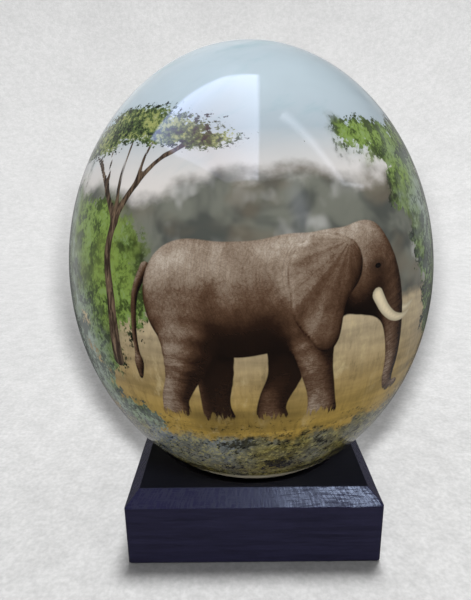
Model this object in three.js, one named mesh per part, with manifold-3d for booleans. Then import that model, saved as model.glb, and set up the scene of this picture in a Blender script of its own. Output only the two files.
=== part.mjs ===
// A decorated ostrich egg standing upright in the turned seat of a square,
// chamfered wooden stand.
//
// Frame: millimetres, +Z up. The origin is the centre of the stand's underside.
// -Y is the front, the side that the egg's main picture faces.
//
// Pieces:
//   egg    the whole shell, a closed egg-shaped solid of revolution
//   stand  one block of wood: square, its top edges planed off at 45 degrees,
//          with a round seat turned into its flat top
//
// The egg only rests in its seat and lifts straight out, so nothing joins them.

import * as THREE from "three";
import { mergeVertices } from "three/addons/utils/BufferGeometryUtils.js";
import Module from "manifold-3d";

// ---- Driving dimensions ----

const eggLength = 150; // pole to pole
const eggWidth = 123.4; // across the widest girth
const shoulderEase = 0.0065; // how far the shoulders fall short of a true ellipse, as a share
const eggLean = THREE.MathUtils.degToRad(1.3); // the shell's long axis leans a little towards -X
const eggSegments = 72; // round the girth
const eggRings = 40; // from pole to pole

const standSide = 83; // square plan, at the foot of the chamfer
const standHeight = 26;
const chamfer = 4.6; // equal rise and run, all round the top
const uprightRadius = 1; // the block's four upright edges
const uprightSegments = 3;
const footEase = 0.8; // the arris round the underside, taken off

const eggFootHeight = 14; // the shell's lower pole, above the stand's underside
const seatClearance = 0.75; // round the shell, which leaves 0.3 where the lean brings it closest
const seatSegments = 72;
const seatRings = 12;
const seatLip = 0.6; // the seat's sharp rim, eased

const eggCentreHeight = eggFootHeight + eggLength / 2;

const overshoot = 1; // how far a trimming solid runs past the faces it trims
const weldDistance = 1e-4; // points closer than this are one point

// ---- Materials ----

const lacqueredShell = new THREE.MeshStandardMaterial({
  name: "lacquered_shell",
  color: new THREE.Color(0.55, 0.5, 0.38),
  roughness: 0.12,
  metalness: 0,
});

const stainedWood = new THREE.MeshStandardMaterial({
  name: "stained_wood",
  color: new THREE.Color(0.03, 0.028, 0.042),
  roughness: 0.42,
  metalness: 0,
});

// ---- Shape helpers ----

const wasm = await Module();
wasm.setup();

// A closed three.js geometry as a manifold-3d solid.
function solidFrom(geometry) {
  const bare = geometry.clone();
  bare.deleteAttribute("normal");
  bare.deleteAttribute("uv");
  const merged = mergeVertices(bare, weldDistance);
  return new wasm.Manifold(
    new wasm.Mesh({
      numProp: 3,
      vertProperties: merged.attributes.position.array,
      triVerts: new Uint32Array(merged.index.array),
    }),
  );
}

// A manifold-3d solid as a three.js geometry.
function geometryFrom(solid) {
  const { vertProperties, triVerts } = solid.getMesh();
  const geometry = new THREE.BufferGeometry();
  geometry.setAttribute("position", new THREE.BufferAttribute(vertProperties, 3));
  geometry.setIndex(new THREE.BufferAttribute(triVerts, 1));
  geometry.computeVertexNormals();
  return geometry;
}

// A profile of (radius, height) points, turned about the Z axis.
function turned(profile, segments) {
  const points = profile.map(([radius, height]) => new THREE.Vector2(radius, height));
  return new THREE.LatheGeometry(points, segments).rotateX(Math.PI / 2);
}

// The egg's profile point at an angle measured from the lower pole, about its centre.
// grow makes a larger egg of the same form, that much further out all round.
function eggPoint(angle, grow = 0) {
  const ease = 1 - shoulderEase * Math.sin(2 * angle) ** 2;
  const radius = (eggWidth / 2 + grow) * Math.sin(angle) * ease;
  const height = -(eggLength / 2 + grow) * Math.cos(angle) * ease;
  return [radius, height];
}

// ---- The egg ----

function eggGeometry() {
  const profile = [];
  for (let ring = 0; ring <= eggRings; ring += 1) {
    const [radius, height] = eggPoint((Math.PI * ring) / eggRings);
    const onAxis = ring === 0 || ring === eggRings;
    profile.push([onAxis ? 0 : radius, height]);
  }
  return turned(profile, eggSegments);
}

// ---- The stand ----

// The block's outline from the side, turned with four segments, is a square block.
function chamferedBlock() {
  const cornerOf = (side) => side / Math.SQRT2; // a square's corner, from its centre
  const profile = [
    [0, 0],
    [cornerOf(standSide - 2 * footEase), 0],
    [cornerOf(standSide), footEase],
    [cornerOf(standSide), standHeight - chamfer],
    [cornerOf(standSide - 2 * chamfer), standHeight],
    [0, standHeight],
  ];
  return turned(profile, 4).rotateZ(Math.PI / 4);
}

// A square prism with rounded upright edges, which trims the block's own sharp ones.
function roundedSleeve() {
  const half = standSide / 2;
  const straight = half - uprightRadius;
  const outline = new THREE.Shape();
  outline.moveTo(-straight, -half);
  outline.lineTo(straight, -half);
  outline.absarc(straight, -straight, uprightRadius, -Math.PI / 2, 0);
  outline.lineTo(half, straight);
  outline.absarc(straight, straight, uprightRadius, 0, Math.PI / 2);
  outline.lineTo(-straight, half);
  outline.absarc(-straight, straight, uprightRadius, Math.PI / 2, Math.PI);
  outline.lineTo(-half, -straight);
  outline.absarc(-straight, -straight, uprightRadius, Math.PI, 1.5 * Math.PI);
  return new THREE.ExtrudeGeometry(outline, {
    depth: standHeight + 2 * overshoot,
    bevelEnabled: false,
    curveSegments: uprightSegments,
  }).translate(0, 0, -overshoot);
}

// What the lathe takes out of the top: the egg's own lower end, a little larger,
// opening in a small eased lip at the flat top.
function seatCut() {
  const depthAngle = Math.acos((eggCentreHeight - standHeight) / (eggLength / 2 + seatClearance));
  const profile = [];
  for (let ring = 0; ring <= seatRings; ring += 1) {
    const [radius, height] = eggPoint((depthAngle * ring) / seatRings, seatClearance);
    profile.push([ring === 0 ? 0 : radius, eggCentreHeight + height]);
  }
  const [rimRadius] = profile.pop();
  profile.push([rimRadius - seatLip / 2, standHeight - seatLip]);
  profile.push([rimRadius + seatLip, standHeight]);
  profile.push([rimRadius + seatLip, standHeight + overshoot]);
  profile.push([0, standHeight + overshoot]);
  return turned(profile, seatSegments);
}

function standGeometry() {
  const block = solidFrom(chamferedBlock()).intersect(solidFrom(roundedSleeve()));
  return geometryFrom(block.subtract(solidFrom(seatCut())));
}

// ---- The object ----

const egg = new THREE.Mesh(eggGeometry(), lacqueredShell);
egg.name = "egg";

const stand = new THREE.Mesh(standGeometry(), stainedWood);
stand.name = "stand";

// Everything that leans with the shell turns about the shell's centre.
const leaning = new THREE.Group();
leaning.position.z = eggCentreHeight;
leaning.rotation.y = -eggLean;
leaning.add(egg);

const standedEgg = new THREE.Group();
standedEgg.add(leaning, stand);

export default standedEgg;
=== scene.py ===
import math

import bpy
import numpy as np
from mathutils import Matrix, Vector


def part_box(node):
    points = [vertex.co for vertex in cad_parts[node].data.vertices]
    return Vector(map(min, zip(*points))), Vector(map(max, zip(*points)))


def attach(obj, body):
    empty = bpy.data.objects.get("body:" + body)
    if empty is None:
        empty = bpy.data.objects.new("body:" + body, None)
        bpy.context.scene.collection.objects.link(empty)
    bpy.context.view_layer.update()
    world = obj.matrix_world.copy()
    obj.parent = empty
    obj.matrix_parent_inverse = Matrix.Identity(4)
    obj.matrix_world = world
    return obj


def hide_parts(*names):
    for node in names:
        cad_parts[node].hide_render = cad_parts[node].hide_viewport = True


# A lacquered ostrich egg with a savanna picture under its varnish, standing in a dark wooden stand.
# Everything is in metres in the frame. Sizes in the dictionaries are in millimetres, angles in degrees.

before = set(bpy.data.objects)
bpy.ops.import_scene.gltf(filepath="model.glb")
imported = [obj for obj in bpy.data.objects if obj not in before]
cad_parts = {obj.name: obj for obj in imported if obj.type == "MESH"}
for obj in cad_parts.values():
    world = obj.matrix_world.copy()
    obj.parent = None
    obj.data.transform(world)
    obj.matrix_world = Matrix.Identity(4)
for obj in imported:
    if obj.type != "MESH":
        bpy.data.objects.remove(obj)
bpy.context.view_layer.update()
mm = 0.001
print("frame loaded:", ", ".join(sorted(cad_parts)))


# Tools for writing nodes, and for meshes.

def bothWays(operation):
    # An operator and its reflected form, each of which adds a Math node.
    return (lambda wire, other: wire.recipe.math(operation, wire, other),
            lambda wire, other: wire.recipe.math(operation, other, wire))


class Wire:
    # An output of a node. Sums, differences, products, quotients and powers of wires add Math nodes.
    def __init__(self, recipe, socket):
        self.recipe, self.socket = recipe, socket

    __add__, __radd__ = bothWays("ADD")
    __sub__, __rsub__ = bothWays("SUBTRACT")
    __mul__, __rmul__ = bothWays("MULTIPLY")
    __truediv__, __rtruediv__ = bothWays("DIVIDE")
    __pow__, __rpow__ = bothWays("POWER")

    def __neg__(self):
        return self * -1

    def out(self, name):
        return Wire(self.recipe, self.socket.node.outputs[name])


class Recipe:
    # A node tree that is being written, for a material or for geometry.
    def __init__(self, tree):
        self.tree = tree

    def add(self, kind, settings=None, sockets=None, output=0):
        node = self.tree.nodes.new(kind)
        for name, value in (settings or {}).items():
            if name == "stops":
                fillRamp(node.color_ramp, value)
            else:
                setattr(node, name, value)
        for name, value in (sockets or {}).items():
            socket = node.inputs[name] if isinstance(name, int) else socketOf(node, name)
            if isinstance(value, Wire):
                self.tree.links.new(value.socket, socket)
            else:
                socket.default_value = value
        return Wire(self, node.outputs[output]) if node.outputs else None

    def math(self, operation, *values):
        return self.add("ShaderNodeMath", {"operation": operation}, dict(enumerate(values)))

    def vector(self, operation, *values):
        return self.add("ShaderNodeVectorMath", {"operation": operation}, dict(enumerate(values)))

    def fade(self, value, low, high, start=0, end=1):
        # from start at low to end at high, eased at both ends
        return self.add("ShaderNodeMapRange", {"interpolation_type": "SMOOTHSTEP"},
                        {"Value": value, "From Min": low, "From Max": high, "To Min": start, "To Max": end})

    def blend(self, under, over, share, way="MIX"):
        return self.add("ShaderNodeMix", {"data_type": "RGBA", "blend_type": way},
                        {"Factor_Float": share, "A_Color": under, "B_Color": over}, output=2)

    def shaded(self, colour, amount):
        # the colour made lighter or darker by a value round 1
        grey = self.add("ShaderNodeCombineColor", {}, {0: amount, 1: amount, 2: amount})
        return self.blend(colour, grey, 1, "MULTIPLY")

    def ramp(self, value, stops):
        return self.add("ShaderNodeValToRGB", {"stops": stops}, {"Fac": value})

    def noise(self, place, scale, detail=2, roughness=0.5, distortion=0):
        return self.add("ShaderNodeTexNoise", {}, {"Vector": place, "Scale": scale, "Detail": detail,
                                                   "Roughness": roughness, "Distortion": distortion})

    def cells(self, place, scale, feature="F1"):
        return self.add("ShaderNodeTexVoronoi", {"feature": feature}, {"Vector": place, "Scale": scale})

    def apart(self, vector):
        return self.add("ShaderNodeSeparateXYZ", {}, {0: vector})

    def joined(self, **parts):
        return self.add("ShaderNodeCombineXYZ", {}, parts)

    def inMillimetres(self, height=0, rotation=(0, 0, 0)):
        # places on the piece in mm, counted from a point this high and turned
        return self.add("ShaderNodeMapping", {"vector_type": "TEXTURE"}, {
            "Vector": self.add("ShaderNodeTexCoord", output="Object"),
            "Location": (0, 0, height * mm), "Rotation": rotation, "Scale": (mm, mm, mm)})

    def stretched(self, place, x=1, y=1, z=1):
        return self.vector("MULTIPLY", place, (x, y, z))

    def tilted(self, place, angle):
        return self.add("ShaderNodeVectorRotate", {"rotation_type": "Y_AXIS"},
                        {"Vector": place, "Angle": math.radians(angle)})

    def attribute(self, name, output="Fac"):
        return self.add("ShaderNodeAttribute", {"attribute_name": name}, output=output)


def socketOf(node, name):
    return next(s for s in node.inputs if name in (s.identifier, s.name))


def fillRamp(ramp, stops):
    while len(ramp.elements) < len(stops):
        ramp.elements.new(1)
    for element, (position, colour) in zip(ramp.elements, stops):
        element.position = position
        element.color = colour


def paint(red, green, blue):
    # a colour as it looks, 0 to 255, made linear
    def linear(value):
        share = value / 255
        return share / 12.92 if share <= 0.04045 else ((share + 0.055) / 1.055) ** 2.4
    return (linear(red), linear(green), linear(blue), 1)


def newMaterial(name):
    material = bpy.data.materials.new(name)
    material.use_nodes = True
    material.node_tree.nodes.clear()
    return material, Recipe(material.node_tree)


def finishMaterial(recipe, shader):
    recipe.add("ShaderNodeOutputMaterial", {}, {"Surface": shader})


def linked(name, data):
    thing = bpy.data.objects.new(name, data)
    bpy.context.scene.collection.objects.link(thing)
    return thing


def built(name, points, faces, material, smooth=False):
    # A mesh object from points in mm.
    mesh = bpy.data.meshes.new(name)
    mesh.from_pydata((np.array(points) * mm).tolist(), [], faces)
    mesh.polygons.foreach_set("use_smooth", [smooth] * len(faces))
    mesh.materials.append(material)
    return linked(name, mesh)


def hide(thing, *rays):
    # from these kinds of ray
    for ray in rays:
        setattr(thing, "visible_" + ray, False)


def sheet(columns, rows, first=0, closed=False):
    # The faces between rows of points, which may close round into rings.
    pairs = [(i, (i + 1) % columns) for i in range(columns if closed else columns - 1)]
    return [(low + i, low + j, low + columns + j, low + columns + i)
            for low in range(first, first + columns * (rows - 1), columns) for i, j in pairs]


def fan(columns, pole, first):
    return [(pole, first + (i + 1) % columns, first + i) for i in range(columns)]


def disc(columns, rings):
    # The faces of rings round the first point.
    return fan(columns, 0, 1) + sheet(columns, rings, 1, closed=True)


def pointsOf(mesh):
    flat = np.empty(len(mesh.vertices) * 3, np.float32)
    mesh.vertices.foreach_get("co", flat)
    return flat.reshape(-1, 3)


def keep(mesh, name, values, kind="FLOAT"):
    attribute = mesh.attributes.new(name, kind, "POINT")
    field = {"FLOAT": "value", "FLOAT_VECTOR": "vector", "FLOAT_COLOR": "color"}[kind]
    attribute.data.foreach_set(field, np.asarray(values, np.float32).ravel())


# The egg's shell.

shell = {
    "shoulderEase": 0.0065,
    "lean": 1.3,
    "skin": 0.02,  # kept inside the frame's own faces by this much
    "columns": 280,  # round the girth
    "rows": 340,  # pole to pole
    "crowding": 0.5,  # how much closer the columns stand at the front
    "mapHeight": 72,  # the picture's height above the girth where it closes at the top
    "mapGirth": 60,  # the radius of the drum that the picture's textures are laid on
    "weld": 0.002,  # points closer than this are one point
}
eggLow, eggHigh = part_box("egg")
shell["length"] = (eggHigh.z - eggLow.z) / mm - 2 * shell["skin"]
shell["width"] = (eggHigh.y - eggLow.y) / mm - 2 * shell["skin"]
shell["centreHeight"] = (eggHigh.z + eggLow.z) / 2 / mm


def geometryTree(name, inputs):
    # A geometry tree with named inputs, its recipe, and what gives an input's wire.
    kinds = {float: "NodeSocketFloat", int: "NodeSocketInt", bpy.types.Material: "NodeSocketMaterial"}
    tree = bpy.data.node_groups.new(name, "GeometryNodeTree")
    for label, value in inputs.items():
        tree.interface.new_socket(label, in_out="INPUT", socket_type=kinds[type(value)])
    tree.interface.new_socket("Geometry", in_out="OUTPUT", socket_type="NodeSocketGeometry")
    recipe = Recipe(tree)
    return tree, recipe, recipe.add("NodeGroupInput").out


def grown(name, tree, inputs):
    # The tree's result as a plain mesh object, at the origin.
    maker = linked(name + "Maker", bpy.data.meshes.new(name + "Start"))
    modifier = maker.modifiers.new("grow", "NODES")
    modifier.node_group = tree
    for item in tree.interface.items_tree:
        if item.in_out == "INPUT":
            modifier[item.identifier] = inputs[item.name]
    graph = bpy.context.evaluated_depsgraph_get()
    mesh = bpy.data.meshes.new_from_object(maker.evaluated_get(graph), preserve_all_data_layers=True,
                                           depsgraph=graph)
    maker.modifiers.remove(modifier)
    bpy.data.objects.remove(maker)
    mesh.name = name
    return linked(name, mesh)


def makeShell(material):
    inputs = {
        "Length": shell["length"] * mm,
        "Width": shell["width"] * mm,
        "Shoulder Ease": shell["shoulderEase"],
        "Lean": math.radians(shell["lean"]),
        "Centre Height": shell["centreHeight"] * mm,
        "Crowding": shell["crowding"],
        "Columns": shell["columns"],
        "Rows": shell["rows"],
        "Material": material,
    }
    tree, recipe, given = geometryTree("eggShell", inputs)
    grid = recipe.add("GeometryNodeMeshGrid", {}, {
        "Size X": 1, "Size Y": 1,
        "Vertices X": given("Columns") + 1, "Vertices Y": given("Rows") + 1})
    spot = recipe.apart(recipe.add("GeometryNodeInputPosition"))
    sweep = spot.out("X") * math.tau
    turn = sweep - given("Crowding") * recipe.math("SINE", sweep)
    angle = (spot.out("Y") + 0.5) * math.pi
    ease = 1 - given("Shoulder Ease") * recipe.math("SINE", angle * 2) ** 2
    radius = given("Width") * 0.5 * recipe.math("SINE", angle) * ease
    height = -(given("Length") * 0.5 * recipe.math("COSINE", angle) * ease)
    across = radius * recipe.math("SINE", turn)
    leanSine, leanCosine = (recipe.math(operation, given("Lean")) for operation in ("SINE", "COSINE"))
    place = recipe.joined(X=across * leanCosine - height * leanSine,
                          Y=-(radius * recipe.math("COSINE", turn)),
                          Z=across * leanSine + height * leanCosine + given("Centre Height"))
    shape = recipe.add("GeometryNodeSetPosition", {}, {"Geometry": grid, "Position": place})
    for kind, sockets in (
            ("MergeByDistance", {"Distance": shell["weld"] * mm}), ("SetShadeSmooth", {}),
            ("RealizeInstances", {}), ("SetMaterial", {"Material": given("Material")})):
        shape = recipe.add("GeometryNode" + kind, {}, {"Geometry": shape, **sockets})
    recipe.add("NodeGroupOutput", {}, {"Geometry": shape})
    return grown("egg_shell", tree, inputs)


def pictureMap(mesh):
    # For each point of the shell: its turn from the front, its place across and up the picture in mm,
    # and how far it is from the axis.
    points = pointsOf(mesh) / mm
    points[:, 2] -= shell["centreHeight"]
    lean = math.radians(shell["lean"])
    x = points[:, 0] * math.cos(lean) + points[:, 2] * math.sin(lean)
    z = points[:, 2] * math.cos(lean) - points[:, 0] * math.sin(lean)
    y = points[:, 1]
    turn = np.arctan2(x, -y)
    girth = np.hypot(x, y)
    up = shell["mapHeight"] * np.arcsin(np.clip(z / (shell["length"] / 2), -1, 1))
    return turn, turn * girth, up, girth


# Rounded forms, for the figures in the picture.

def ball(centre, radii):
    centre, radii = np.array(centre, np.float32), np.array(radii, np.float32)

    def distance(points):
        unit = (points - centre) / radii
        far = np.linalg.norm(unit, axis=-1)
        return far * (far - 1) / np.maximum(np.linalg.norm(unit / radii, axis=-1), 1e-6)
    return distance


def limb(*joints, between=3):
    # A round limb through joints given as (x, y, z, radius), eased between them.
    rows = np.array(joints, np.float32)
    rows = np.vstack([2 * rows[0] - rows[1], rows, 2 * rows[-1] - rows[-2]])
    eased = []
    for a, b, c, d in zip(rows, rows[1:], rows[2:], rows[3:]):
        for u in np.arange(between) / between:
            eased.append(b + 0.5 * u * (c - a + u * (2 * a - 5 * b + 4 * c - d + u * (3 * (b - c) + d - a))))
    eased = np.array(eased + [rows[-2]], np.float32)

    def distance(points):
        nearest = None
        for a, b in zip(eased, eased[1:]):
            along = b[:3] - a[:3]
            share = np.clip((points - a[:3]) @ along / (along @ along), 0, 1)
            gap = np.linalg.norm(points - a[:3] - share[..., None] * along, axis=-1)
            gap = gap - a[3] - (b[3] - a[3]) * share
            nearest = gap if nearest is None else np.minimum(nearest, gap)
        return nearest
    return distance


def together(forms, softness):
    # Several forms as one skin, with their creases filled.
    def distance(points):
        total = None
        for form in forms:
            near = -form(points) / softness
            total = near if total is None else np.logaddexp(total, near)
        return -softness * total
    return distance


elephant = {
    "place": (4.5, -27),  # across and up, the middle of its feet on the ground
    "size": 1.04,
    "sun": (-0.5, 0.6, 0.72),
    "extent": (-42, 48, -5, 54),  # left, right, low and high, as drawn
    "crease": {"body": 1.5, "farLegs": 0.8, "ear": 1.2, "tusk": 0.5},  # how softly its forms run together
    # the depths between which each is looked for, from near to far, and the steps
    "depths": {"body": (18, -12, 31), "farLegs": (2, -14, 17), "ear": (16, 5, 12)},
    "probe": 0.6,  # how far apart its slopes are measured
    "sunSteps": (2, 26, 9),  # how far towards the sun its own shadow is looked for
    "hollows": (1.5, 4, 8),  # how far apart the walls of a shaded hollow are
    "light": {"sun": 0.66, "sky": 0.36, "bounce": 0.16},
    "hollowShade": 0.33,  # what each step of a hollow takes away
    "earShade": (1.4, 11, -2.4),  # how the ear's shadow is shifted on the body, and at what depth
    "body": [
        ball((4.5, 0, 33), (12.5, 12, 13)),  # shoulder
        ball((-9, 0, 31.2), (16, 12.8, 12.4)),  # barrel
        ball((-20, 0, 32.5), (12, 11.5, 13)),  # hip
        ball((-6, 0, 37), (20, 9, 7.2)),  # back
        ball((14, 0, 37.5), (9, 8.5, 9)),  # neck
        ball((22.5, 0, 38.2), (7.8, 7, 8.6)),  # skull
        ball((22, 3, 33.5), (6, 4.5, 6)),  # cheek
        limb((24, 0, 30.5, 3.8), (27.2, 0, 27.6, 2), (28.6, 0, 26, 0.8)),
        limb((23.5, 0, 41.3, 5.8), (28.6, 0, 36, 5.4), (31.9, 0, 29, 4.6), (33.7, 0, 21, 3.6),
             (34.4, 0, 13, 2.8), (33.9, 0, 6.4, 2.3), (35.2, 0, 2.8, 1.9), (38, 0, 2.6, 1.6)),
        limb((8.5, 6, 30, 7.2), (10, 7.5, 17, 4.6), (11.6, 7.5, 9, 3.8), (12.2, 7.5, 4, 3.9),
             (12.4, 7.5, 1, 4.3)),
        limb((-20.5, 5, 33, 9), (-21.5, 7.5, 19.5, 6.4), (-23.6, 7.5, 11.5, 4.3), (-25.6, 7.5, 6, 3.8),
             (-25.6, 7.5, 1, 4.2)),
    ],
    "farLegs": [
        limb((4, -7, 24, 6.2), (2.5, -7.5, 14, 4.3), (0, -7.5, 8, 3.7), (-0.9, -7.5, 4, 3.7),
             (-0.6, -7.5, 1, 4.1)),
        limb((-17, -7, 26, 7.5), (-14.8, -7.5, 15, 5), (-14.8, -7.5, 8, 3.9), (-14.6, -7.5, 4, 3.8),
             (-14, -7.5, 1, 4.1)),
        limb((-31, 0, 39, 1.5), (-34.6, 0, 33, 1), (-35.8, 0, 24, 0.8), (-35.6, 0, 18, 0.8),
             (-35.4, 0, 15, 1.5), (-35.4, 0, 11, 0.7)),
    ],
    "ear": [
        ball((12, 10.5, 38.2), (8.8, 2, 8)),
        ball((10.6, 11, 31), (6.6, 1.8, 8.2)),
        ball((12.6, 11.3, 23.6), (3.6, 1.4, 5)),
        ball((17.5, 8.5, 38.5), (4.5, 2.4, 5.5)),
    ],
    "nearTusk": [limb((27.2, 0, 30.4, 1.7), (29.8, 0, 26.6, 1.5), (33.2, 0, 24, 1.2), (37, 0, 23.2, 0.8),
                      (40.4, 0, 24.2, 0.25))],
    "farTusk": [limb((29, 0, 30, 1.5), (33.5, 0, 26.6, 1.3), (38, 0, 25.2, 0.9), (42.2, 0, 26.4, 0.25))],
    "eye": (27.2, 37.2, 0.95, 0.6),
}


def portrayed(forms, softness, x, z, depths, around=None):
    # The forms seen from the side: how far each point lies outside their outline, and how light they are.
    solid = together(forms, softness)
    nearby = solid if around is None else together(around, softness)
    depths = np.linspace(*depths, dtype=np.float32)
    rays = np.stack(np.broadcast_arrays(x[:, None], depths, z[:, None]), -1)
    gaps = solid(rays)
    inside = gaps < 0
    met = inside.any(1)
    first = np.where(met, inside.argmax(1), gaps.argmin(1))
    before = np.maximum(first - 1, 0)
    row = np.arange(len(x))
    outer, inner = gaps[row, before], gaps[row, first]
    share = np.where(met & (first > 0), outer / np.maximum(outer - inner, 1e-6), 1)
    skin = depths[before] + (depths[first] - depths[before]) * share
    spots = np.stack([x, skin, z], -1).astype(np.float32)
    step = elephant["probe"] * np.eye(3, dtype=np.float32)
    facing = np.stack([solid(spots + step[i]) - solid(spots - step[i]) for i in range(3)], -1)
    facing /= np.maximum(np.linalg.norm(facing, axis=1, keepdims=True), 1e-6)
    openness = np.ones(len(x), np.float32)
    for reach in elephant["hollows"]:
        openness -= elephant["hollowShade"] * np.clip(1 - nearby(spots + facing * reach) / reach, 0, 1)
    sun = np.array(elephant["sun"], np.float32)
    sun /= np.linalg.norm(sun)
    lit = np.ones(len(x), np.float32)
    for reach in np.linspace(*elephant["sunSteps"], dtype=np.float32):
        lit = np.minimum(lit, np.clip(0.6 + 2.6 * nearby(spots + facing + sun * reach) / reach, 0, 1))
    above = 0.5 + 0.5 * facing[:, 2]
    bounce = (1 - above) * np.clip(1.2 - z / 26, 0, 1)
    strength = elephant["light"]
    light = strength["sun"] * np.clip(facing @ sun, 0, 1) * lit
    light += openness * (strength["sky"] * above + strength["bounce"] * bounce)
    return gaps.min(1), light


def eased(values, low, high):
    share = np.clip((values - low) / (high - low), 0, 1)
    return share * share * (3 - 2 * share)


def drawElephant(mesh, turn, across, up):
    # Keeps its outlines and its light and shade on the shell's points.
    offset, ground = elephant["place"]
    x = ((across - offset) / elephant["size"]).astype(np.float32)
    z = ((up - ground) / elephant["size"]).astype(np.float32)
    left, right, low, high = elephant["extent"]
    here = (x > left) & (x < right) & (z > low) & (z < high) & (np.abs(turn) < math.pi / 2)
    keep(mesh, "drawing", np.stack([x, np.zeros_like(x), z], -1), "FLOAT_VECTOR")
    x, z = x[here], z[here]
    flat = np.stack([x, np.zeros_like(x), z], -1)
    body, farLegs, ear, crease, depths = (
        elephant[part] for part in ("body", "farLegs", "ear", "crease", "depths"))
    solid = body + farLegs
    outline = {}
    outline["figure"], bodyLight = portrayed(body, crease["body"], x, z, depths["body"], solid)
    outline["farLegs"], farLight = portrayed(farLegs, crease["farLegs"], x, z, depths["farLegs"], solid)
    outline["ear"], earLight = portrayed(ear, crease["ear"], x, z, depths["ear"])
    _, joinedLight = portrayed(body + ear, crease["body"], x, z, depths["body"])
    shadeX, shadeY, shadeZ = elephant["earShade"]
    shadow = together(ear, crease["ear"])(np.stack([x - shadeX, np.full_like(x, shadeY), z - shadeZ], -1))
    bodyLight *= 1 - 0.5 * eased(-shadow, -1.5, 1.5) * eased(-x, -20, -16)
    toHead = eased(x, 15, 19.5)
    earLight = earLight * (1 - toHead) + joinedLight * toHead
    for tusk in ("nearTusk", "farTusk"):
        outline[tusk] = together(elephant[tusk], crease["tusk"])(flat)
    light = {"figureLight": bodyLight, "farLegsLight": farLight * 0.8, "earLight": earLight}
    for name, values in {**outline, **light}.items():
        everywhere = np.full(len(here), 0.5 if name in light else 9, np.float32)
        everywhere[here] = values
        keep(mesh, name, everywhere)


# What grows in the picture.

growth = {
    "seam": 250,  # degrees round from the front, where no branch crosses
    # soft masses as (degrees round from the front, up, half width, half height), the last three in mm
    "bush": [
        (-34, 8, 9, 12), (-42, 6, 11, 14), (-43, 18, 11, 12), (-51, 14, 14, 16), (-63, 11, 14, 24),
        (-76, 17, 13, 21), (-44, -8, 9, 9), (-88, 4, 14, 20), (-35, 18, 9, 8), (-62, -16, 9, 16),
        (-52, -24, 10, 10), (-40, -33, 12, 7), (-74, -14, 12, 20), (-98, -8, 9, 9), (172, -3, 17, 7),
        (162, 0, 8, 8), (140, -1, 13, 9), (150, -6, 9, 6), (203, -7, 9, 5), (226, -9, 8, 4),
        (108, -10, 9, 5),
    ],
    "hanging": [
        (38, 45, 11, 4.5), (48, 42, 13, 7), (49, 31, 9, 10), (54, 16, 8, 12), (58, 1, 8, 12),
        (58, 40, 13, 10), (71, 43, 14, 10), (85, 43, 14, 9), (98, 40, 10, 6), (57, 28, 10, 12),
        (63, 16, 9, 14), (92, 33, 8, 6), (65, -4, 10, 13), (75, 1, 10, 14), (87, -6, 12, 12),
        (78, -18, 13, 9), (-122, 30, 14, 8), (-112, 27, 9, 6), (-133, 27, 10, 6), (-122, 37, 9, 4),
    ],
    "lime": [
        (39, 45, 12, 5), (-47, 24, 12, 10), (-37, 8, 10, 10), (50, 34, 6, 4), (80, 46, 12, 5),
        (-120, 36, 10, 5),
    ],
    # pale grey leaves; those at the shell's side edges are painted reflection, standing in for the haze the
    # lacquer mirrors there
    "dusty": [
        (-68, 4, 12, 36), (-58, -14, 14, 18), (-48, -34, 12, 8), (-25, -42, 20, 13), (74, 0, 10, 14),
        (58, 26, 8, 16), (140, 0, 8, 6),
    ],
    "crown": [
        (-40, 50, 21, 4.2), (-55, 46, 11, 3.8), (-24, 47.5, 12, 3.6), (-42, 54, 13, 3.2), (-64, 43, 7, 2.6),
        (-13, 45, 8, 2.4), (124, 39, 17, 4), (112, 36, 10, 3), (137, 36, 9, 3), (124, 43, 9, 2.6),
        (197, 33, 14, 3.2), (208, 31, 8, 2.6), (187, 30.5, 7, 2.4),
    ],
    # the far hills' height, and the waves in it as (rise, how many all round, start)
    "ridge": 34, "waves": [(2.2, 3, 0.6), (1.6, 7, 2), (1, 13, 4.4)],
    "crease": 0.35,  # how softly the branches fork
    # branches in mm across at the girth, up and radius, from the ground upwards
    "branches": [
        [(-41, -12, 2.1), (-40.5, 4, 1.6), (-42, 16, 1.3), (-40, 26, 1.2)],
        [(-40, 24, 1.1), (-47, 33, 0.8), (-54, 39, 0.55), (-63, 43, 0.3)],
        [(-46, 31.5, 0.7), (-48, 39, 0.5), (-51, 46, 0.3)],
        [(-40.5, 25, 1.1), (-34, 34, 0.85), (-26, 41, 0.55), (-15, 45, 0.3)],
        [(-34, 34, 0.7), (-33, 41, 0.5), (-30, 48, 0.3)],
        [(-40, 25, 0.8), (-41, 36, 0.6), (-40, 47, 0.35)],
        [(-26, 41, 0.4), (-22, 42.6, 0.35), (-18, 47, 0.2)],
        [(-52, 38, 0.4), (-57, 43, 0.3), (-59, 46, 0.2)],
        [(88, -22, 3.2), (87, -6, 2.4), (84, 10, 2), (82, 24, 1.5)],
        [(82, 22, 1.3), (72, 34, 0.9), (60, 41, 0.6), (46, 45, 0.3)],
        [(82, 24, 1.3), (88, 34, 0.9), (96, 41, 0.5)],
        [(74, 32, 0.8), (75, 40, 0.6), (73, 47, 0.3)],
        [(134, -8, 1.6), (133, 10, 1.2), (134, 22, 0.9), (141, 32, 0.5), (147, 36, 0.3)],
        [(134, 20, 0.8), (128, 30, 0.55), (121, 35, 0.3)],
        [(134.5, 23, 0.7), (134, 32, 0.5), (133, 40, 0.3)],
        [(212, -8, 1.2), (211, 8, 0.9), (212, 20, 0.7), (217, 27, 0.4), (222, 30, 0.25)],
        [(212, 19, 0.6), (207, 26, 0.4), (203, 30, 0.25)],
        [(257, -12, 1.8), (256, 2, 1.4), (258, 12, 1.1), (257, 24, 0.8)],
        [(258, 13, 0.8), (252, 20, 0.6), (247, 26, 0.4)],
        [(257.5, 14, 0.8), (264, 21, 0.5), (267, 27, 0.3)],
    ],
}


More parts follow.
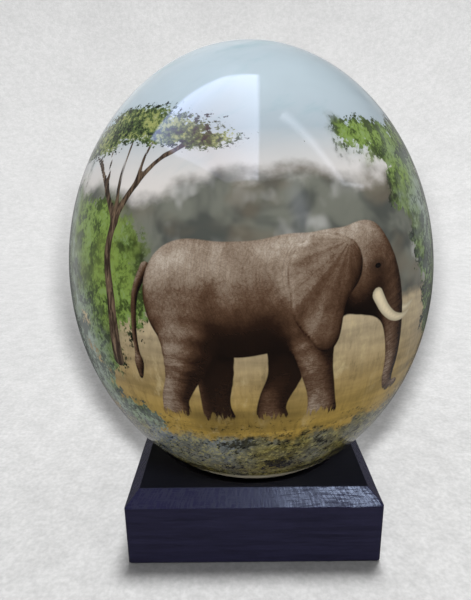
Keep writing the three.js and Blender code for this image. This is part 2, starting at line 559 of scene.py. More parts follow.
def massField(masses, turn, up, girth):
    # Millimetres outside the nearest of the masses, and below nought inside one.
    nearest = np.full(len(up), 40, np.float32)
    for degrees, height, halfWidth, halfHeight in masses:
        away = (turn - math.radians(degrees) + math.pi) % math.tau - math.pi
        reach = np.hypot(away * girth / halfWidth, (up - height) / halfHeight)
        nearest = np.minimum(nearest, (reach - 1) * min(halfWidth, halfHeight))
    return nearest


def drawGrowth(mesh, turn, up, girth):
    for name in ("bush", "hanging", "lime", "dusty", "crown"):
        keep(mesh, name, massField(growth[name], turn, up, girth))
    wide = turn % math.tau
    wide = np.where(wide > math.radians(growth["seam"]), wide - math.tau, wide) * shell["width"] / 2
    flat = np.stack([wide, np.zeros_like(wide), up], -1).astype(np.float32)
    branches = [limb(*((x, 0, z, radius) for x, z, radius in joints)) for joints in growth["branches"]]
    keep(mesh, "branches", together(branches, growth["crease"])(flat))
    waves = sum(rise * np.sin(turn * number + start) for rise, number, start in growth["waves"])
    keep(mesh, "ridge", up - growth["ridge"] - waves)
    drum = shell["mapGirth"]
    keep(mesh, "unrolled", np.stack([np.sin(turn) * drum, -np.cos(turn) * drum, up], -1), "FLOAT_VECTOR")
    keep(mesh, "up", up)


# The picture under the lacquer.

picture = {
    "skyTop": paint(180, 196, 205),
    "skyMiddle": paint(170, 183, 192),
    "skyLow": paint(222, 217, 213),
    "skyStroke": paint(136, 172, 182),
    "hillLight": paint(118, 120, 110),
    "hillDark": paint(80, 83, 78),
    "hillHaze": paint(176, 176, 172),
    "hillWarm": paint(116, 106, 90),
    "fieldFar": paint(178, 162, 132),
    "fieldMiddle": paint(156, 134, 90),
    "fieldNear": paint(160, 132, 60),
    "fieldStraw": paint(206, 188, 144),
    "leafDark": paint(20, 30, 17),
    "leafMiddle": paint(76, 96, 46),
    "leafLight": paint(112, 136, 72),
    "leafGrey": paint(122, 142, 104),
    "leafDustAndRimHaze": paint(168, 180, 174),
    "leafLime": paint(136, 164, 74),
    "blurDark": paint(50, 58, 34),
    "blurOlive": paint(92, 108, 50),
    "blurLime": paint(124, 142, 68),
    "crownLight": paint(150, 156, 92),
    "bark": paint(50, 37, 28),
    "barkLight": paint(118, 98, 78),
    "scrubDark": paint(30, 29, 20),
    "scrubMiddle": paint(112, 102, 48),
    "scrubGrey": paint(128, 136, 140),
    "scrubStraw": paint(168, 160, 98),
    # cream bare shell, kept pale as painted light along the shaded bottom rim
    "bareShellPaintedRimLight": paint(226, 217, 192),
    "tusk": paint(220, 206, 174),
    "eye": paint(20, 14, 10),
    "hide": [(0, paint(14, 9, 7)), (0.18, paint(50, 36, 27)), (0.38, paint(102, 83, 68)),
             (0.6, paint(152, 135, 118)), (0.82, paint(194, 181, 166)), (1, paint(226, 218, 206))],
    "mud": paint(232, 206, 180),  # tints the hide's shaded parts
}


def drawnSky(r, solid, up):
    p = picture
    sky = r.ramp(r.fade(up, 30, 68), [(0, p["skyLow"]), (0.45, p["skyMiddle"]), (1, p["skyTop"])])
    strokes = r.noise(r.stretched(r.tilted(solid, 24), 0.028, 0.028, 0.09), 1, 4, 0.62, 0.6)
    sky = r.blend(sky, p["skyStroke"], r.fade(strokes, 0.52, 0.72) * r.fade(up, 30, 50) * 0.45)
    clouds = r.noise(r.stretched(solid, z=2.2), 0.03, 3, 0.55)
    return r.shaded(sky, r.fade(clouds, 0.35, 0.7, 0.97, 1.05))


def drawnHills(r, sky, place, soft, clumps):
    # trees far off and out of focus
    p = picture
    blur = r.noise(r.stretched(place, z=1.15), 0.1, 2, 0.5, 0.4)
    hill = r.blend(p["hillDark"], p["hillLight"], r.fade(blur, 0.36, 0.64))
    warm = r.noise(r.stretched(place, z=1.3), 0.06)
    hill = r.blend(hill, p["hillWarm"], r.fade(warm, 0.46, 0.62) * 0.6)
    gaps = r.noise(r.stretched(place, z=0.9), 0.12)
    hill = r.blend(hill, p["hillHaze"], r.fade(gaps, 0.54, 0.7) * r.fade(soft, 0.4, 0.6) * 0.8)
    ridge = r.attribute("ridge") - (soft - 0.5) * 14 - (clumps - 0.5) * 7
    return r.blend(sky, hill, r.fade(ridge, 2.6, -3.4))


def drawnField(r, place, up, soft, streaks):
    p = picture
    bands = r.noise(r.stretched(place, 0.5, 0.5, 3), 0.1, 3, 0.55)
    shades = [(0, p["fieldNear"]), (0.5, p["fieldMiddle"]), (1, p["fieldFar"])]
    field = r.ramp(r.fade(up, -34, 3), shades)
    field = r.shaded(field, r.fade(streaks, 0.3, 0.7, 0.9, 1.08) * r.fade(bands, 0.3, 0.7, 0.78, 1.18))
    tufts = r.noise(r.stretched(place, z=0.5), 0.2, 5, 0.68)
    field = r.blend(field, p["fieldStraw"], r.fade(tufts, 0.5, 0.7) * r.fade(soft, 0.42, 0.58) * 0.6)
    return r.shaded(field, r.fade(tufts, 0.46, 0.34, 1, 0.74))


def drawnLeaves(r, place, up, spray, shape, fleck):
    # light tips over dark gaps, each clump lit from the upper left, and out of focus here and there
    p = picture
    tips = r.cells(r.stretched(r.tilted(place, -48), z=0.5), 1.9).out("Color")
    tips = r.add("ShaderNodeSeparateColor", {}, {0: tips}, output="Green")
    deep = r.noise(place, 0.16, 3, 0.6)
    sprigLight = spray - r.noise(r.vector("ADD", place, (-0.7, 0, 0.9)), 0.42, 4, 0.68)
    clumpLight = shape - r.noise(r.vector("ADD", place, (-2, 0, 2.6)), 0.13, 3, 0.6)
    detail = fleck * 0.26 + tips * 0.26 + spray * 0.6 + deep * 0.8 + sprigLight * 0.9
    leafy = r.fade(detail + clumpLight * 1.8, 0.6, 1.46)
    green = r.ramp(leafy, [(0, p["leafDark"]), (0.42, p["leafMiddle"]), (0.78, p["leafLight"]),
                           (1, p["leafGrey"])])
    blurred = r.ramp(r.fade(r.noise(place, 0.1) + clumpLight * 0.7, 0.32, 0.68),
                     [(0, p["blurDark"]), (0.5, p["blurOlive"]), (1, p["blurLime"])])
    nearness = r.fade(up, 14, -10) * 0.1
    focus = r.fade(r.noise(place, 0.055) + (spray - 0.5) * 0.3 + nearness, 0.38, 0.54, 0.35, 1)
    green = r.blend(blurred, green, focus)
    # pale dusty leaves; at the shell's side edges they are painted reflection of the lacquer's rim haze
    dust = r.fade(r.attribute("dusty") + (shape - 0.5) * 30 + (spray - 0.5) * 16, 7, -8)
    green = r.blend(green, p["leafDustAndRimHaze"], dust * r.fade(leafy, 0.1, 0.7, 0.3, 0.8))
    lime = r.fade(r.attribute("lime") + (spray - 0.5) * 8, 3.5, -2.5) * r.fade(leafy, 0.1, 0.6, 0.3, 1)
    return r.blend(green, p["leafLime"], lime * 0.55), tips, focus, clumpLight


def leafEdge(r, field, rough, shape, focus):
    # a mass of leaves ends raggedly where it is in focus, and softly where it isn't
    crisp = r.fade(field + rough, 0.6, -0.6)
    blurred = r.fade(field + (shape - 0.5) * 16, 3.4, -3)
    return blurred + (crisp - blurred) * focus


def drawnTree(r, colour, place, fleck, streaks, clumpLight):
    p = picture
    bark = r.blend(p["bark"], p["barkLight"], r.fade(streaks, 0.4, 0.66))
    bark = r.shaded(bark, r.fade(r.attribute("branches"), -1.4, 0, 1.25, 0.7))
    colour = r.blend(colour, bark, r.fade(r.attribute("branches"), 0.12, -0.12))
    tuft = r.noise(r.stretched(place, z=1.8), 0.5, 4, 0.7)
    green = r.ramp(r.fade(tuft + fleck * 0.16 + clumpLight * 0.7, 0.36, 0.78),
                   [(0, p["leafDark"]), (0.55, p["leafMiddle"]), (1, p["crownLight"])])
    ragged = r.attribute("crown") + (tuft - 0.5) * 9 + (fleck - 0.5) * 0.8
    return r.blend(colour, green, r.fade(ragged, 0.35, -0.35))


def drawnScrub(r, colour, place, up, shape, spray, tips):
    p = picture
    ragged = up + (shape - 0.5) * 18 + (spray - 0.5) * 8
    haze = r.noise(place, 0.045, 3, 0.6)
    # greyer scrub where the dusty masses lie; near the shell's edge this is painted reflection of the rim
    # haze
    dusty = r.fade(r.attribute("dusty") + (shape - 0.5) * 24, 5, -6)
    dry = r.blend(p["scrubMiddle"], p["scrubGrey"], r.fade(haze, 0.46, 0.62) * 0.45 + dusty * 0.55)
    dry = r.shaded(dry, r.fade(spray + shape * 0.6, 0.55, 1.05, 0.5, 1.15))
    dry = r.blend(dry, p["scrubStraw"], r.fade(tips + spray * 2.2, 1.72, 1.95) * 0.55)
    twigs = r.noise(r.stretched(r.tilted(place, 30), z=1.5), 0.5, 6, 0.78, 0.4)
    clumped = r.noise(r.stretched(place, z=1.6), 0.09, 3, 0.6)
    dark = r.fade(twigs + (clumped - 0.5) * 1.1 + (tips - 0.5) * 0.16 - dusty * 0.08, 0.52, 0.6)
    dry = r.blend(dry, p["scrubDark"], dark * 0.88)
    colour = r.blend(colour, dry, r.fade(ragged, -32, -36))
    # dark tufts that stand up into the grass
    edge = r.fade(up + (clumped - 0.5) * 26, -26, -33) * r.fade(twigs, 0.55, 0.6)
    return r.blend(colour, p["scrubDark"], edge * 0.85)


def drawnHide(r, place, drawing, x, z):
    # how worn the hide is: dust, a net of fine creases, level folds on the legs, rings round the trunk
    warp = r.vector("MULTIPLY", r.noise(place, 0.22, 3).out("Color"), (7, 7, 7))
    net = r.cells(r.stretched(r.vector("ADD", drawing, warp), z=1.6), 0.8, "DISTANCE_TO_EDGE")
    broad = r.noise(r.stretched(r.vector("ADD", drawing, warp), z=0.6), 0.28, 4, 0.62)
    folds = r.noise(r.stretched(drawing, 0.5, 1, 2), 0.8, 3, 0.6, 0.6)
    dust = r.noise(place, 0.09, 5, 0.68)
    grainy = r.noise(place, 1.3, 3, 0.7)
    rings = r.math("SINE", z * 4.2 - x * 1.1 + (dust - 0.5) * 9)
    onTrunk = r.fade(x, 28.5, 31.5) * r.fade(z, 33, 27)
    onLegs = r.fade(z, 24, 15)
    worn = r.fade(net, 0, 0.12, 0.88, 1) * r.fade(dust, 0.34, 0.66, 0.9, 1.1)
    worn = worn * r.fade(grainy, 0.25, 0.75, 0.92, 1.06) * r.fade(broad, 0.34, 0.62, 0.92, 1.06)
    worn = worn * (1 - r.fade(rings, 0.55, 1) * onTrunk * 0.14)
    return worn * (1 - r.fade(folds, 0.56, 0.44) * onLegs * 0.14)


def drawnFigure(r, colour, place, up, streaks):
    p = picture
    ground = elephant["place"][1]
    drawing = r.attribute("drawing", "Vector")
    x, z = (r.apart(drawing).out(axis) for axis in "XZ")
    worn = drawnHide(r, place, drawing, x, z)
    earFolds = r.noise(r.joined(X=r.math("ARCTAN2", z - 44, x - 19) * 5.5), 1)
    ear = r.attribute("ear")
    earWorn = worn * r.fade(earFolds, 0.3, 0.7, 0.86, 1.1) * r.fade(ear, -1.3, -0.3, 1, 1.18)
    tall = r.fade(up + (streaks - 0.5) * 12, ground + 0.4, ground + 2.2)
    under = r.fade(r.attribute("farLegs"), 7, 0.5) * r.fade(up, ground + 6, ground + 1) * 0.35
    colour = r.shaded(colour, 1 - under)
    layers = [("farTusk", None, 0.18), ("farLegs", worn, 0.18), ("figure", worn, 0.18),
              ("ear", earWorn, 0.15), ("nearTusk", None, 0.15)]
    for outline, wear, edge in layers:
        if wear:
            lit = r.attribute(outline + "Light") * wear
            tone = r.blend(r.ramp(lit * 0.76, p["hide"]), p["mud"], r.fade(lit, 0.75, 0.3), "MULTIPLY")
        else:
            tone = r.shaded(p["tusk"], r.fade(r.attribute(outline), -1.4, 0.1, 1.08, 0.6))
        if outline == "figure":
            tone = drawnEye(r, tone, x, z)
        colour = r.blend(colour, tone, r.fade(r.attribute(outline), edge, -edge) * tall)
    return colour


def drawnEye(r, tone, x, z):
    eyeX, eyeZ, wide, high = elephant["eye"]
    away = r.math("SQRT", ((x - eyeX) / wide) ** 2 + ((z - eyeZ) / high) ** 2)
    socket = r.noise(r.joined(X=away * 2.2), 1, 1)
    tone = r.shaded(tone, r.fade(away, 1.2, 4.2, 0.62, 1) * r.fade(socket, 0.4, 0.6, 0.92, 1.04))
    return r.blend(tone, picture["eye"], r.fade(away, 1.15, 0.85))


def pictureColour(r, solid):
    p = picture
    place = r.attribute("unrolled", "Vector")
    up = r.attribute("up")
    soft = r.noise(place, 0.05)
    clumps = r.noise(r.stretched(place, z=1.5), 0.14, 3, 0.55)
    streaks = r.noise(r.stretched(place, z=0.2), 1, 4, 0.62, 0.5)
    spray = r.noise(place, 0.42, 4, 0.68)
    shape = r.noise(place, 0.13, 3, 0.6)
    fleck = r.cells(r.stretched(r.tilted(place, 38), z=0.45), 1.35).out("Color")
    fleck = r.add("ShaderNodeSeparateColor", {}, {0: fleck})
    colour = drawnHills(r, drawnSky(r, solid, up), place, soft, clumps)
    field = drawnField(r, place, up, soft, streaks)
    colour = r.blend(colour, field, r.fade(up + (clumps - 0.5) * 8, 5, 0.5))
    leaves, tips, focus, clumpLight = drawnLeaves(r, place, up, spray, shape, fleck)
    rough = (spray - 0.5) * 12 + (shape - 0.5) * 14 + (tips - 0.5) * 1.6
    colour = r.blend(colour, leaves, leafEdge(r, r.attribute("bush"), rough, shape, focus))
    colour = drawnTree(r, colour, place, fleck, streaks, clumpLight)
    colour = drawnFigure(r, colour, place, up, streaks)
    colour = r.blend(colour, leaves, leafEdge(r, r.attribute("hanging"), rough, shape, focus))
    colour = drawnScrub(r, colour, place, up, shape, spray, tips)
    # the paper ends short of the foot and bare cream shell shows, kept pale as painted light on the shaded
    # bottom rim
    return r.blend(colour, p["bareShellPaintedRimLight"], r.fade(up + (spray - 0.5) * 3, -60.5, -66.5))


def makeLacquer():
    material, r = newMaterial("lacquered_picture")
    solid = r.inMillimetres(shell["centreHeight"], (0, -math.radians(shell["lean"]), 0))
    shader = r.add("ShaderNodeBsdfPrincipled", {}, {
        "Base Color": pictureColour(r, solid), "Roughness": 0.45, "Specular IOR Level": 0.05,
        "Coat Weight": 1, "Coat Roughness": 0.035})
    finishMaterial(r, shader)
    return material


def makeEgg():
    piece = makeShell(makeLacquer())
    mesh = piece.data
    turn, across, up, girth = pictureMap(mesh)
    drawGrowth(mesh, turn, up, girth)
    print("picture's growth laid out")
    drawElephant(mesh, turn, across, up)
    print("elephant drawn")
    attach(piece, "root")
    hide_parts("egg")
    print("egg made:", len(mesh.polygons), "faces")
    return piece


# The stand.

stand = {
    "chamfer": 4.6,
    "uprightRadius": 1,
    "footEase": 0.8,
    "arris": 0.28,  # the planed edges, rubbed soft
    "seatRadius": 35.2,
    "seatLip": 0.6,
    "seatClearance": 0.75,
    "sideSteps": 66,
    "cornerSteps": 6,
    "frontSteps": 16,
    "chamferSteps": 12,
    "topSteps": 8,
    "seatSteps": 16,
    "seatFall": [(-0.15, 0), (0, 0.01), (0.2, 0.12)],  # the eased lip: how far in, how far down
    "footSteps": 6,
    "support": 0.15,  # rows this close to an arris keep it crisp
    "wander": 0.14,  # how far the planed edge strays
    "waves": (0.31, 0.083, 0.047),  # how fast its waver, the waver's drift and its swell come
}
standLow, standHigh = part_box("stand")
stand["side"] = (standHigh.x - standLow.x) / mm
stand["height"] = (standHigh.z - standLow.z) / mm


def squareRing(half, radius, height):
    # A square with rounded corners, from the back left corner anticlockwise seen from above.
    straight = half - radius
    side = half + 1j * straight * np.linspace(-1, 1, stand["sideSteps"], endpoint=False)
    turns = np.linspace(0, math.pi / 2, stand["cornerSteps"], endpoint=False)
    quarter = np.concatenate([side, straight * (1 + 1j) + radius * np.exp(1j * turns)])
    ring = np.concatenate([quarter * 1j ** turn for turn in (2, 3, 4, 5)])
    return np.stack([ring.real, ring.imag, np.full(len(ring), height)], -1)


def roundRing(like, radius, height):
    angles = np.arctan2(like[:, 1], like[:, 0])
    return np.stack([radius * np.cos(angles), radius * np.sin(angles), np.full(len(like), height)], -1)


def standProfile():
    # (distance in from the side, height, how much the surface is planed), from the underside to the flat top
    s = stand
    foot, arris, top, drop = s["footEase"], s["arris"], s["height"], s["chamfer"]
    shoulder = top - drop
    lean = arris * math.tan(math.radians(22.5))
    step = lean * math.sqrt(0.5)
    rows = [(foot + 0.4, 0, 0), (foot, 0, 0)]
    rows += [(foot - foot * math.sin(a), foot - foot * math.cos(a), 0)
             for a in np.linspace(0.2, math.pi / 2, s["footSteps"])]
    rows += [(0, height, 0)
             for height in np.linspace(foot + 0.5, shoulder - lean - s["support"], s["frontSteps"])]
    rows += [(0, shoulder - lean, 0), (arris * 0.08, shoulder - lean * 0.1, 0.3)]
    for share in (0, *np.linspace(0.03, 0.97, s["chamferSteps"]), 1):
        inward = step + (drop - 2 * step) * share
        rows.append((inward, shoulder + inward, 1))
    rows += [(drop - lean * 0.1, top - arris * 0.08, 0.3), (drop + lean, top, 0)]
    return rows + [(drop + lean + s["support"], top, 0)]


def standRings():
    s = stand
    rings, planed = [], []
    for inward, height, share in standProfile():
        radius = max(s["uprightRadius"] - inward * 0.55, 0.3)
        rings.append(squareRing(s["side"] / 2 - inward, radius, height))
        planed.append(share)
    square = rings[-1]
    lip, *fall = [roundRing(square, s["seatRadius"] - inward, s["height"] - down)
                  for inward, down in s["seatFall"] + [(0.75, s["seatLip"])]]
    top = [square * (1 - share) + lip * share for share in np.linspace(0, 1, s["topSteps"] + 1)[1:]]
    rings += top + fall
    reach = shell["length"] / 2 + s["seatClearance"]
    wide = shell["width"] / 2 + s["seatClearance"]
    rim = math.acos((shell["centreHeight"] - s["height"] + s["seatLip"]) / reach)
    rings += [roundRing(square, wide * math.sin(angle), shell["centreHeight"] - reach * math.cos(angle))
              for angle in np.linspace(rim, 0, s["seatSteps"] + 2)[1:-1]]
    planed += [0] * (len(rings) - len(planed))
    return rings, planed, shell["centreHeight"] - reach


def makeStand():
    rings, planed, seatFloor = standRings()
    count = len(rings[0])
    lower = [i for i, share in enumerate(planed) if share > 0]
    level = rings[lower[0] - 1]  # just under the planed edge
    along = np.concatenate([[0], np.cumsum(np.linalg.norm(np.diff(level, axis=0), axis=1))])
    waver, drift, swell = (along * speed for speed in stand["waves"])
    waves = np.sin(waver + 1.3 * np.sin(drift)) * (0.5 + 0.5 * np.sin(swell))
    for i in lower:
        rings[i][:, 2] += stand["wander"] * waves * (1 - (i - lower[0]) / (len(lower) - 1))
    seatPole = len(rings) * count
    faces = sheet(count, len(rings), closed=True) + fan(count, seatPole + 1, 0)
    faces += [face[::-1] for face in fan(count, seatPole, seatPole - count)]
    points = np.vstack(rings + [[(0, 0, seatFloor)], [(0, 0, 0)]])
    piece = built("wooden_stand", points, faces, makeStainedWood(), smooth=True)
    keep(piece.data, "planed", np.concatenate([np.repeat(planed, count), [0, 0]]))
    keep(piece.data, "along", np.concatenate([np.tile(along, len(rings)), [0, 0]]))
    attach(piece, "root")
    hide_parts("stand")
    print("stand made:", len(faces), "faces")
    return piece


wood = {
    "stainDark": paint(25, 23, 39),
    "stainLight": paint(38, 36, 57),
    "pore": paint(9, 8, 14),
    # the planed edge's bluer stain, made lighter as a painted reflection
    "cutAndPaintedSheen": paint(31, 29, 58),
    "slant": 1.5,  # how far the grain runs off the stand's sides
    "satin": 0.34,
    "matt": 0.45,  # how much duller the flat top is
    "flatTopPaintedShade": 0.24,  # painted shade: the stain is darkened on the flat top, where the egg shades it
}


def makeStainedWood():
    # open grain along the stand, and cutter marks across the planed edge
    material, r = newMaterial("stained_wood_grain")
    place = r.inMillimetres(rotation=(0, 0, math.radians(wood["slant"])))
    planed, along = r.attribute("planed"), r.attribute("along")
    grain = r.noise(r.stretched(place, 0.04, 0.8, 0.8), 0.8, 4, 0.6, 0.4)
    fibre = r.noise(r.stretched(place, 0.14, 2.4, 2.4), 1.2, 3, 0.65)
    pores = r.noise(r.stretched(place, 0.16, 2, 2), 1.3, 3, 0.65)
    opened = r.fade(pores, 0.5, 0.64) * (0.12 + planed * 0.5)
    level = r.apart(place).out("Z")
    marks = r.noise(r.joined(X=along * 1.25, Y=level * 0.3), 1, 3, 0.7)
    light = r.fade(grain, 0.3, 0.7) * 0.6 + r.fade(fibre, 0.3, 0.7) * 0.4
    stain = r.blend(wood["stainDark"], wood["stainLight"], light)
    stain = r.blend(stain, wood["pore"], opened * 0.8)
    # the planed edge takes a lighter, bluer colour: partly its own stain, partly painted reflection
    stain = r.blend(stain, wood["cutAndPaintedSheen"], planed * r.fade(marks, 0.35, 0.65, 0.85, 0.55))
    # the flat top: duller there, and darkened as painted shade under the egg
    onTop = r.fade(level, stand["height"] - 0.3, stand["height"] - 0.02)
    stain = r.shaded(stain, 1 - onTop * (1 - wood["flatTopPaintedShade"]))
    height = grain * 0.2 + fibre * 0.12 - opened * 0.16 + planed * marks * 0.4
    bump = r.add("ShaderNodeBump", {}, {"Strength": 0.6, "Distance": 0.12 * mm, "Height": height})
    rough = wood["satin"] + opened * 0.3 + (fibre - 0.5) * 0.15
    rough = rough + planed * r.fade(marks, 0.36, 0.64, -0.17, 0) + onTop * wood["matt"]
    shader = r.add("ShaderNodeBsdfPrincipled", {}, {
        "Base Color": stain, "Roughness": rough, "Specular IOR Level": 0.36, "Normal": bump})
    finishMaterial(r, shader)
    return material


# The studio.

studio = {
    "paper": paint(180, 180, 180),
    "coveRadius": 1300,
    "coveCurve": 800,
    "coveHeight": 1500,
    "coveColumns": 96,
    "coveFloor": (60, 8),  # the innermost ring, and the rings on the level floor
    "coveCurveRings": 19,
    "roomDim": 0.07,  # the room's light from the front
    "roomAbove": 0.12,
    "roomBehind": 0.27,  # what gleams along the shell's edges
    "roomFloor": 0.37,
    # soft light on everything, with no glint of its own: (centre, aim, width, height, radiance)
    "softBoxes": {
        "overhead": ((-20, -120, 1200), (0, 0, 0), 1600, 1600, 1.32),
        "skylight": ((-60, 230, 900), (0, 0, 20), 320, 180, 13),
        "front": ((60, -900, 620), (0, 0, 60), 1000, 700, 0.95),
    },
    # what the gloss mirrors, level above the egg: (x, y, colour of its light)
    "windowHeight": 630,
    "windowPane": [
        (-219, -197, (1.7, 0.9, 1.1)),
        (-528, 6, (3.2, 3.7, 6.3)), (-257, 50, (3.3, 3.8, 6.2)), (-90, 76, (3.6, 4, 5.6)),
        (34, 73, (4.1, 4.5, 5.9)), (48, -543, (3.3, 3.6, 4.6)), (-180, -547, (1.3, 1.2, 1.5)),
        (-418, -237, (2.2, 2.3, 3.2)),
    ],
    "windowFeather": 26,
    "windowBar": [(150, -131), (440, -262), (740, -345), (985, -190)],
    "windowBarWidth": 40,
    "windowBarLight": (2.6, 2.7, 3.1),
    # ovals of light that only show as a haze in the lacquer: (centre, aim, half width, half height, light)
    "hazes": {
        "far_pane": ((470, -800, 630), (20, -40, 60), 150, 340, (1.5, 1.6, 1.9)),
        "back_glow": ((-220, 1036, 713), (0, 0, 150), 1150, 800, (0.57, 0.57, 0.57)),
        "left_glow": ((-564, 315, 30), (-60, 0, 90), 300, 330, (0.24, 0.24, 0.23)),
    },
    "hazeColumns": 24,
    "hazeFall": [(0.3, 0.85), (0.6, 0.4), (1, 0)],  # (how far out, share of the light)
    # a cool light that skims the stand's front edge, its right end most
    "sheen": {"place": ((264, -640, 790), (20, -41, 24), 290, 220, 17.5), "colour": (0.62, 0.75, 1)},
    # even light on the paper, from high up and a little behind: the stand's shadow on it stays close
    "paperLight": ((220, 690, 2330), (0, 0, 0), 800, 740, 43.5),
    # a scrim low over the paper behind the egg, thinner outwards
    "scrim": {
        # (left, right, how far back, height, width of its thin edge, share of the light held back)
        "stations": [
            (-41, 44, 4, 8, 3, 0), (-43, 48, 14, 8, 5, 0.4), (-46, 52, 24, 8, 7, 0.62),
            (-59, 66, 43, 8, 12, 0.82), (-78, 84, 74, 8, 14, 0.86), (-98, 105, 115, 8, 17, 0.84),
            (-134, 142, 191, 8, 19, 0.72), (-184, 196, 317, 8, 24, 0.56), (-258, 280, 528, 14, 28, 0.38),
            (-306, 336, 701, 58, 30, 0.23), (-323, 359, 811, 108, 30, 0.11), (-322, 363, 911, 169, 30, 0),
        ],
        # (share of the thin edge, counted inwards, and what it holds back of the station's share)
        "edge": [(1, 0), (0.8, 0.14), (0.6, 0.35), (0.4, 0.6), (0.2, 0.82), (0, 1)],
    },
}


def makeCove():
    # floor and backdrop in one, all the way round
    s = studio
    count, curve, wall = s["coveColumns"], s["coveCurve"], s["coveRadius"]
    inner, rings = s["coveFloor"]
    line = [(radius, 0) for radius in np.linspace(inner, wall - curve, rings)]
    line += [(wall - curve + curve * math.sin(a), curve - curve * math.cos(a))
             for a in np.linspace(0, math.pi / 2, s["coveCurveRings"] + 1)[1:]]
    line += [(wall, s["coveHeight"])]
    points = [(0, 0, 0)] + [(radius * math.sin(t), radius * math.cos(t), height)
                            for radius, height in line for t in np.arange(count) * math.tau / count]
    material, r = newMaterial("paper")
    place = r.add("ShaderNodeTexCoord", output="Object")
    cloudy = r.noise(place, 9, 5, 0.6)
    specks = r.noise(place, 260, 3, 0.7)
    fine = r.noise(place, 620, 2, 0.6)
    coarse = r.noise(place, 90, 3, 0.7)
    tone = r.shaded(s["paper"], r.fade(cloudy, 0.3, 0.7, 0.965, 1.02) * r.fade(specks, 0.3, 0.7, 0.95, 1.04)
                    * r.fade(fine, 0.3, 0.7, 0.93, 1.06) * r.fade(coarse, 0.3, 0.7, 0.94, 1.05))
    finishMaterial(r, r.add("ShaderNodeBsdfPrincipled", {}, {"Base Color": tone, "Roughness": 0.9,
                                                            "Specular IOR Level": 0.1}))
    cove = built("paper_cove", points, disc(count, len(line)), material, smooth=True)
    hide(cove, "glossy")
    return cove


def makeSoftBox(name, centre, aim, width, height, radiance):
    lamp = bpy.data.lights.new(name, "AREA")
    lamp.shape = "RECTANGLE"
    lamp.size, lamp.size_y = width * mm, height * mm
    lamp.energy = radiance * math.pi * lamp.size * lamp.size_y
    box = linked(name, lamp)
    box.location = Vector(centre) * mm
    box.rotation_euler = ((Vector(aim) - Vector(centre)).to_track_quat("-Z", "Y")).to_euler()
    hide(box, "glossy", "camera")
    return box


def collected(name, members):
    group = bpy.data.collections.new(name)
    for member in members:
        group.objects.link(member)
    return group


def makeSheen(onto):
    # falls on the stand alone, and shows in its satin
    box = makeSoftBox("sheen", *studio["sheen"]["place"])
    box.data.color = studio["sheen"]["colour"]
    box.visible_glossy = True
    box.light_linking.receiver_collection = onto


def makeScrim():
    points, held = [], []
    stations, edge = studio["scrim"]["stations"], studio["scrim"]["edge"]
    for left, right, back, height, spread, kept in stations:
        row = [(left - out * spread, share) for out, share in edge] + [((left + right) / 2, 1)]
        row += [(right + out * spread, share) for out, share in reversed(edge)]
        points += [(across, back, height) for across, _ in row]
        held += [kept * share for _, share in row]
    material, r = newMaterial("scrim_cloth")
    clear = r.add("ShaderNodeBsdfTransparent")
    cloth = r.add("ShaderNodeBsdfDiffuse", {}, {"Color": (0, 0, 0, 1)})
    finishMaterial(r, r.add("ShaderNodeMixShader", {}, {0: r.attribute("held"), 1: clear, 2: cloth}))
    scrim = built("scrim", points, sheet(len(row), len(stations)), material)
    keep(scrim.data, "held", held)
    hide(scrim, "camera", "diffuse", "glossy", "transmission")
    return scrim


def makePaperLight(cove, blockers):
    # lights the paper alone; only the stand and the scrim hold it back
    box = makeSoftBox("paper_light", *studio["paperLight"])
    box.light_linking.receiver_collection = collected("paper_receivers", [cove])
    box.light_linking.blocker_collection = collected("paper_blockers", blockers)


def makeCard(name, points, faces, glow, onto):
    # A card of light that only the gloss of some pieces sees. glow is each point's colour, in linear light.
    material, r = newMaterial(name)
    light = r.add("ShaderNodeEmission", {}, {"Color": r.attribute("glow", "Color"), "Strength": 1})
    clear = r.add("ShaderNodeBsdfTransparent")  # so that it hides nothing behind it
    finishMaterial(r, r.add("ShaderNodeAddShader", {}, {0: light, 1: clear}))
    card = built(name, points, faces, material)
    keep(card.data, "glow", [(*colour, 1) for colour in glow], "FLOAT_COLOR")
    hide(card, "camera", "diffuse", "shadow", "transmission")
    card.light_linking.receiver_collection = onto


def makeWindow(onto):
    s = studio
    pane = [Vector((x, y, s["windowHeight"])) for x, y, _ in s["windowPane"]]
    glow = [light for _, _, light in s["windowPane"]]
    rim = len(pane) - 1
    feather = [corner + (corner - pane[0]).normalized() * s["windowFeather"] for corner in pane[1:]]
    makeCard("window_pane", pane + feather, disc(rim, 2), glow + [(0, 0, 0)] * rim, onto)
    # the bar is bright along its middle and fades out to its sides
    points, glow = [], []
    line = [Vector((x, y, s["windowHeight"])) for x, y in s["windowBar"]]
    for i, point in enumerate(line):
        along = (line[min(i + 1, len(line) - 1)] - line[max(i - 1, 0)]).normalized()
        across = Vector((-along.y, along.x, 0)) * s["windowBarWidth"]
        points += [point - across, point, point + across]
        glow += [(0, 0, 0), s["windowBarLight"], (0, 0, 0)]
    makeCard("window_bar", points, sheet(3, len(line)), glow, onto)


def makeHaze(name, centre, aim, halfWidth, halfHeight, light, onto):
    # an oval of light that fades outwards
    centre, count, fall = Vector(centre), studio["hazeColumns"], studio["hazeFall"]
    facing = (Vector(aim) - centre).to_track_quat("-Z", "Y")
    points, glow = [centre], [light]
    for out, share in fall:
        for turn in np.arange(count) * math.tau / count:
            corner = Vector((math.cos(turn) * halfWidth, math.sin(turn) * halfHeight, 0)) * out
            points.append(centre + facing @ corner)
            glow.append([value * share for value in light])
    makeCard(name, points, disc(count, len(fall)), glow, onto)


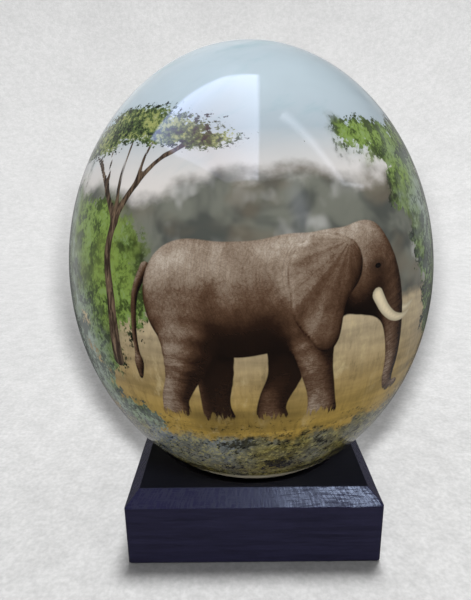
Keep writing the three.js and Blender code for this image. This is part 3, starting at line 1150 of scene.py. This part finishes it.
def makeRoom():
    world = bpy.data.worlds.new("room")
    world.use_nodes = True
    world.node_tree.nodes.clear()
    r = Recipe(world.node_tree)
    ahead = r.apart(r.add("ShaderNodeTexCoord", output="Generated"))
    x, y, z = (ahead.out(axis) for axis in "XYZ")
    down = r.fade(z, -0.36, -0.7)
    # darker where the stand's planed sides and flat top look
    dark = 1 - r.fade(z, -0.3, 0.02, 0.1, 1) * r.fade(z, 0.28, 0.48, 1, 0)
    aside = r.fade(r.math("ABSOLUTE", x), 0.5, 0.8)
    wall = (1 - dark * (1 - aside)) * (1 - down) * studio["roomBehind"]
    behind = r.fade(y, -0.1, 0.8) * (wall + down * studio["roomFloor"])
    above = studio["roomDim"] + r.fade(z, 0, 0.95) * studio["roomAbove"]
    shut = r.fade(z, 0.28, 0.48) * 0.88 + r.fade(z, -0.5, -0.3) * r.fade(z, 0.05, -0.1) * 0.25
    strength = above * (1 - r.fade(y, 0.3, 0.7) * shut) + behind
    light = r.add("ShaderNodeBackground", {}, {"Strength": strength})
    r.add("ShaderNodeOutputWorld", {}, {"Surface": light})
    bpy.context.scene.world = world


def makeStudio(eggShell, woodenStand):
    cove = makeCove()
    pieces = collected("pieces", [eggShell, woodenStand])
    for name, values in studio["softBoxes"].items():
        box = makeSoftBox(name, *values)
        box.light_linking.receiver_collection = box.light_linking.blocker_collection = pieces
    makeSheen(collected("sheen_receivers", [woodenStand]))
    makePaperLight(cove, [woodenStand, makeScrim()])
    lacquer = collected("mirroring_pieces", [eggShell])
    makeWindow(lacquer)
    for name, values in studio["hazes"].items():
        makeHaze(name, *values, lacquer)
    makeRoom()
    bpy.context.scene.view_settings.view_transform = "Standard"


camera = {
    "place": (-4.155, -170.25, 126.65),
    "lens": 28.8,
    "sensor": 36,
    "pitch": 15.79,
    "yaw": -0.352,
    "roll": -0.812,
}


def makeCamera():
    pitch, yaw, roll = (math.radians(camera[name]) for name in ("pitch", "yaw", "roll"))
    data = bpy.data.cameras.new("camera")
    data.lens, data.sensor_width, data.sensor_fit = camera["lens"], camera["sensor"], "AUTO"
    data.clip_start, data.clip_end = 0.01, 20
    eye = linked("camera", data)
    eye.matrix_world = (
        Matrix.Translation(Vector(camera["place"]) * mm) @ Matrix.Rotation(-yaw, 4, "Z")
        @ Matrix.Rotation(math.pi / 2 - pitch, 4, "X") @ Matrix.Rotation(roll, 4, "Z"))
    bpy.context.scene.camera = eye


eggShell = makeEgg()
woodenStand = makeStand()
makeStudio(eggShell, woodenStand)
makeCamera()
print("studio and camera ready")
